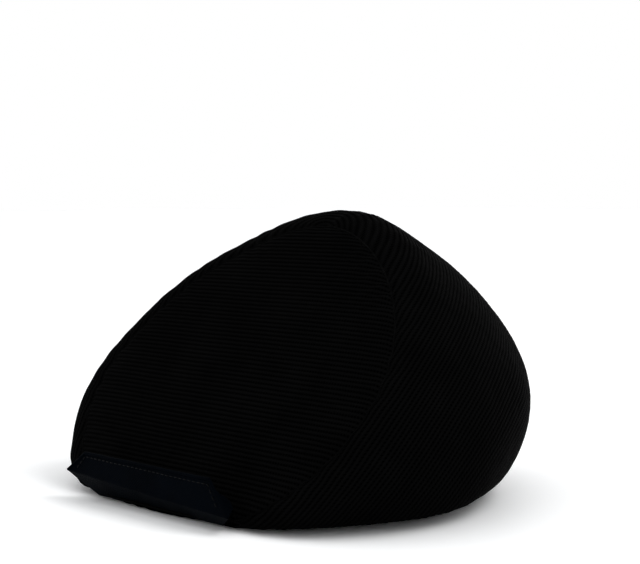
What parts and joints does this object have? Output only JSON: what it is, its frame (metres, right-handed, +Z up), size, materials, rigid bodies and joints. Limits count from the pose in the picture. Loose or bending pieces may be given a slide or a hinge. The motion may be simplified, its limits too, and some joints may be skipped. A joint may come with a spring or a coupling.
{
  "type": "tablet cushion stand",
  "caption": "Bead-filled black cushion with a sloping flat face and a stiff ledge at its foot, for holding a tablet computer upright on a table or a lap.",
  "frame": {"origin": "on the floor, under the middle of the stand's box", "axes": "+Z up; -Y is the front, where the tablet leans on the sloping face and stands on the ledge; +X is the stand's right as seen from the front"},
  "size_m": [0.2272, 0.2039, 0.1276],
  "materials": {
    "knit_cover": "ribbed open knit, matt black with a faint sheen",
    "base_cloth": "plain woven cloth, matt black",
    "bead_filling": "thin white lining bag packed with foam beads",
    "ledge_cloth": "smooth close cloth, black with a low sheen",
    "ledge_foam": "closed-cell foam, grey"
  },
  "bodies": {
    "root": {"back_panel": "knit_cover", "face_panel": "knit_cover", "base_panel": "base_cloth", "bead_bag": "bead_filling", "ledge_cover": "ledge_cloth", "ledge_core": "ledge_foam"}
  },
  "joints": []
}
